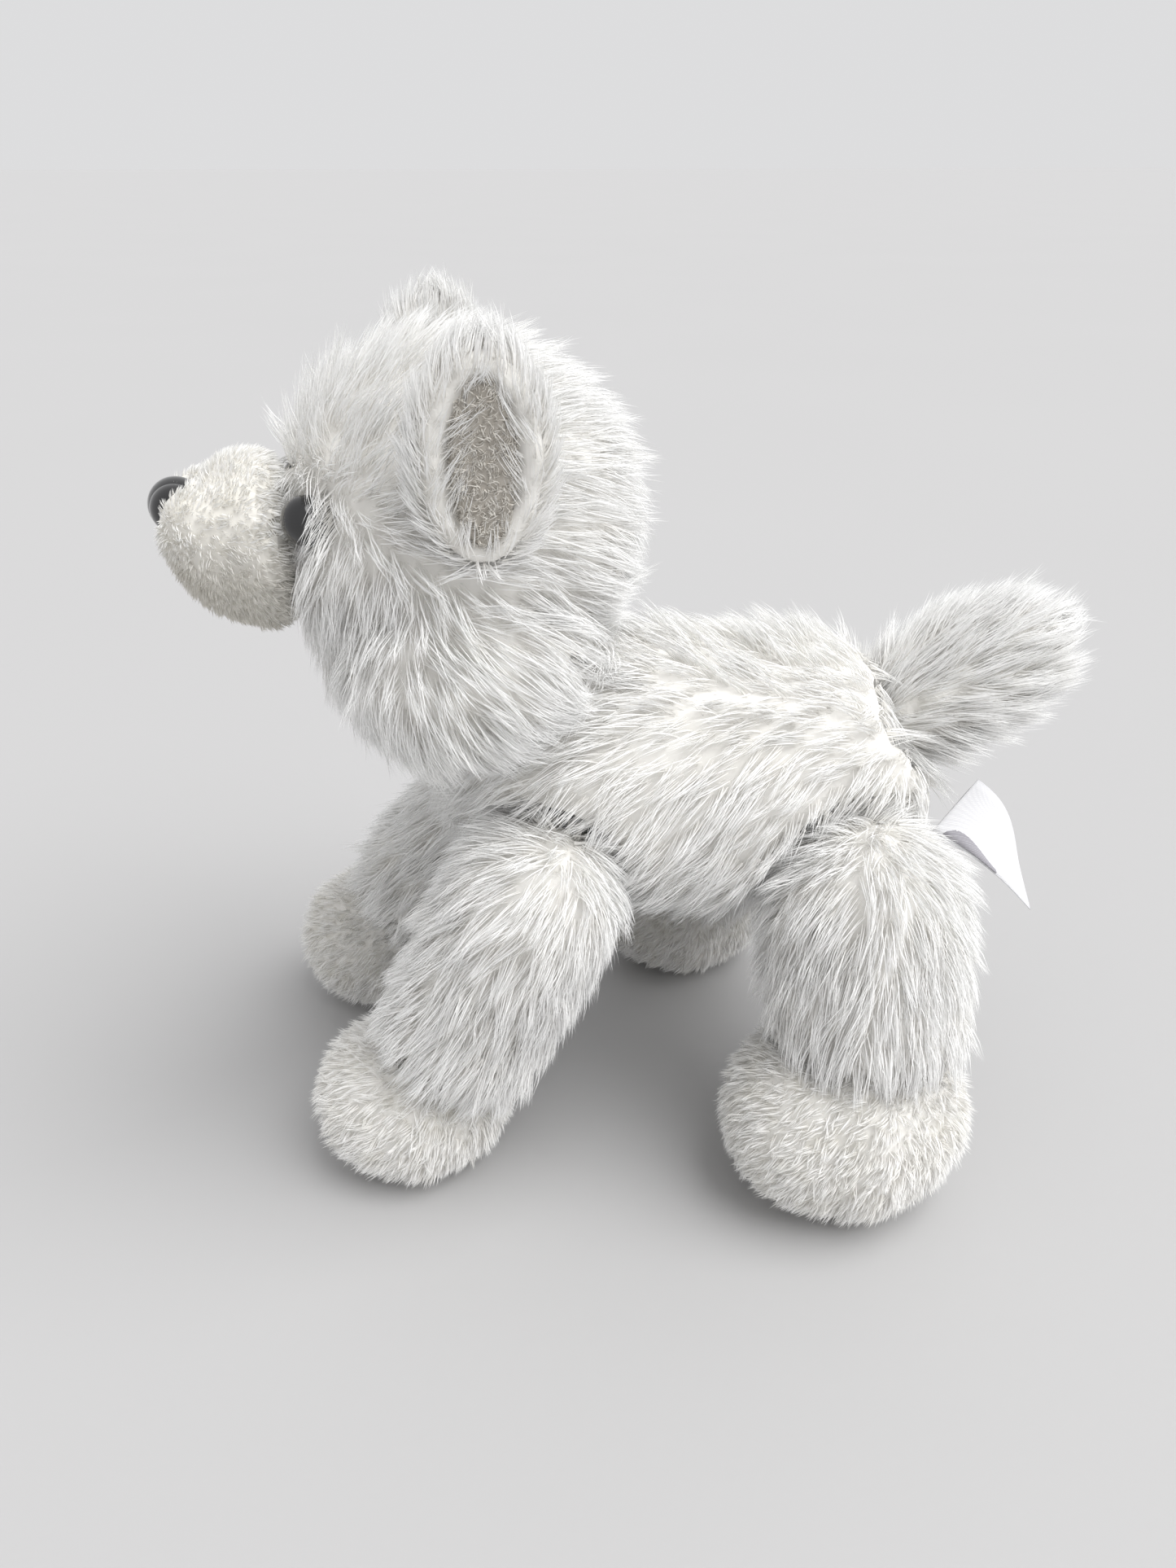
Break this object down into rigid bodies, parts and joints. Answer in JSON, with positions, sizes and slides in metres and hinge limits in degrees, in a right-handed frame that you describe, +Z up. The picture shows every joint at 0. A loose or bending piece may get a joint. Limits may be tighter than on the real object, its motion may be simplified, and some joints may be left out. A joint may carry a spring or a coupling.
{
  "type": "plush dog",
  "caption": "Standing plush dog with sewn head, ears, legs, tail and label, safety eyes and nose, fibre stuffing and weighted paws.",
  "frame": {"origin": "bottom centre of the whole dog, on the surface it stands on", "axes": "+Z up, the dog faces -Y, its left side is +X"},
  "size_m": [0.151, 0.2126, 0.2034],
  "materials": {
    "long_pile": "long white plush pile",
    "short_pile": "short white plush pile",
    "muzzle_pile": "very short white pile, a shade warmer below",
    "ear_lining": "short looped taupe plush",
    "fibre_fill": "loose polyester fibre",
    "bean_fill": "plastic pellets in a cloth pouch",
    "seam_cloth": "sewn backing cloth",
    "black_plastic": "glossy black moulded plastic",
    "washer_plastic": "natural moulded plastic",
    "label_tape": "white satin tape, blank",
    "care_tape": "thin grey tape, blank"
  },
  "bodies": {
    "torso": {"left_side_cover": "long_pile", "right_side_cover": "long_pile", "belly_cover": "long_pile", "torso_stuffing": "fibre_fill", "torso_bean_pouch": "bean_fill"},
    "neck": {"neck_seam": "seam_cloth"},
    "head": {"head_left_cover": "long_pile", "head_right_cover": "long_pile", "head_gusset": "long_pile", "head_stuffing": "fibre_fill", "muzzle_cover": "muzzle_pile", "muzzle_stuffing": "fibre_fill", "nose": "black_plastic", "nose_washer": "washer_plastic", "left_eye": "black_plastic", "right_eye": "black_plastic", "left_eye_washer": "washer_plastic", "right_eye_washer": "washer_plastic"},
    "left_ear": {"left_ear_back": "long_pile", "left_ear_lining": "ear_lining"},
    "right_ear": {"right_ear_back": "long_pile", "right_ear_lining": "ear_lining"},
    "tail_base": {"tail_seam": "seam_cloth"},
    "tail": {"tail_cover": "long_pile", "tail_stuffing": "fibre_fill"},
    "label": {"sewn_label": "label_tape", "care_label": "care_tape"},
    "front_left_joint": {"front_left_leg_seam": "seam_cloth"},
    "front_left_leg": {"front_left_leg_cover": "long_pile", "front_left_leg_stuffing": "fibre_fill", "front_left_paw_cover": "short_pile", "front_left_paw_beans": "bean_fill"},
    "front_right_joint": {"front_right_leg_seam": "seam_cloth"},
    "front_right_leg": {"front_right_leg_cover": "long_pile", "front_right_leg_stuffing": "fibre_fill", "front_right_paw_cover": "short_pile", "front_right_paw_beans": "bean_fill"},
    "hind_left_joint": {"hind_left_leg_seam": "seam_cloth"},
    "hind_left_leg": {"hind_left_leg_cover": "long_pile", "hind_left_leg_stuffing": "fibre_fill", "hind_left_paw_cover": "short_pile", "hind_left_paw_beans": "bean_fill"},
    "hind_right_joint": {"hind_right_leg_seam": "seam_cloth"},
    "hind_right_leg": {"hind_right_leg_cover": "long_pile", "hind_right_leg_stuffing": "fibre_fill", "hind_right_paw_cover": "short_pile", "hind_right_paw_beans": "bean_fill"}
  },
  "joints": [
    {"name": "head_turn", "type": "hinge", "parent": "torso", "child": "neck", "pos_m": [0.004, -0.03076, 0.126], "axis": [0, -0.4226, 0.9063], "range_deg": [-30, 30]},
    {"name": "head_nod", "type": "hinge", "parent": "neck", "child": "head", "pos_m": [0.004, -0.03076, 0.126], "axis": [1, 0, 0], "range_deg": [-12, 12]},
    {"name": "left_ear_fold", "type": "hinge", "parent": "head", "child": "left_ear", "pos_m": [0.0415, -0.04276, 0.17], "axis": [0, 1, 0], "range_deg": [-5, 75], "stiffness_Nm_per_rad": 0.002},
    {"name": "right_ear_fold", "type": "hinge", "parent": "head", "child": "right_ear", "pos_m": [-0.0335, -0.04276, 0.17], "axis": [0, -1, 0], "range_deg": [-5, 75], "stiffness_Nm_per_rad": 0.002},
    {"name": "tail_wag", "type": "hinge", "parent": "torso", "child": "tail_base", "pos_m": [0.004, 0.06524, 0.109], "axis": [0, 0, 1], "range_deg": [-15, 15]},
    {"name": "tail_lift", "type": "hinge", "parent": "tail_base", "child": "tail", "pos_m": [0.004, 0.06524, 0.109], "axis": [1, 0, 0], "range_deg": [-25, 25]},
    {"name": "label_flap", "type": "hinge", "parent": "torso", "child": "label", "pos_m": [0.016, 0.07902, 0.085], "axis": [1, 0, 0], "range_deg": [-20, 45], "stiffness_Nm_per_rad": 0.0004},
    {"name": "front_left_swing", "type": "hinge", "parent": "torso", "child": "front_left_joint", "pos_m": [0.03, -0.03276, 0.082], "axis": [1, 0, 0], "range_deg": [-20, 26]},
    {"name": "front_left_splay", "type": "hinge", "parent": "front_left_joint", "child": "front_left_leg", "pos_m": [0.03, -0.03276, 0.082], "axis": [0, -1, 0], "range_deg": [0, 20]},
    {"name": "front_right_swing", "type": "hinge", "parent": "torso", "child": "front_right_joint", "pos_m": [-0.024, -0.02876, 0.08], "axis": [1, 0, 0], "range_deg": [-20, 26]},
    {"name": "front_right_splay", "type": "hinge", "parent": "front_right_joint", "child": "front_right_leg", "pos_m": [-0.024, -0.02876, 0.08], "axis": [0, 1, 0], "range_deg": [-15, 5]},
    {"name": "hind_left_swing", "type": "hinge", "parent": "torso", "child": "hind_left_joint", "pos_m": [0.039, 0.04524, 0.074], "axis": [1, 0, 0], "range_deg": [-20, 20]},
    {"name": "hind_left_splay", "type": "hinge", "parent": "hind_left_joint", "child": "hind_left_leg", "pos_m": [0.039, 0.04524, 0.074], "axis": [0, -1, 0], "range_deg": [-6, 15]},
    {"name": "hind_right_swing", "type": "hinge", "parent": "torso", "child": "hind_right_joint", "pos_m": [-0.031, 0.03824, 0.07], "axis": [1, 0, 0], "range_deg": [-20, 20]},
    {"name": "hind_right_splay", "type": "hinge", "parent": "hind_right_joint", "child": "hind_right_leg", "pos_m": [-0.031, 0.03824, 0.07], "axis": [0, 1, 0], "range_deg": [-12, 8]}
  ]
}
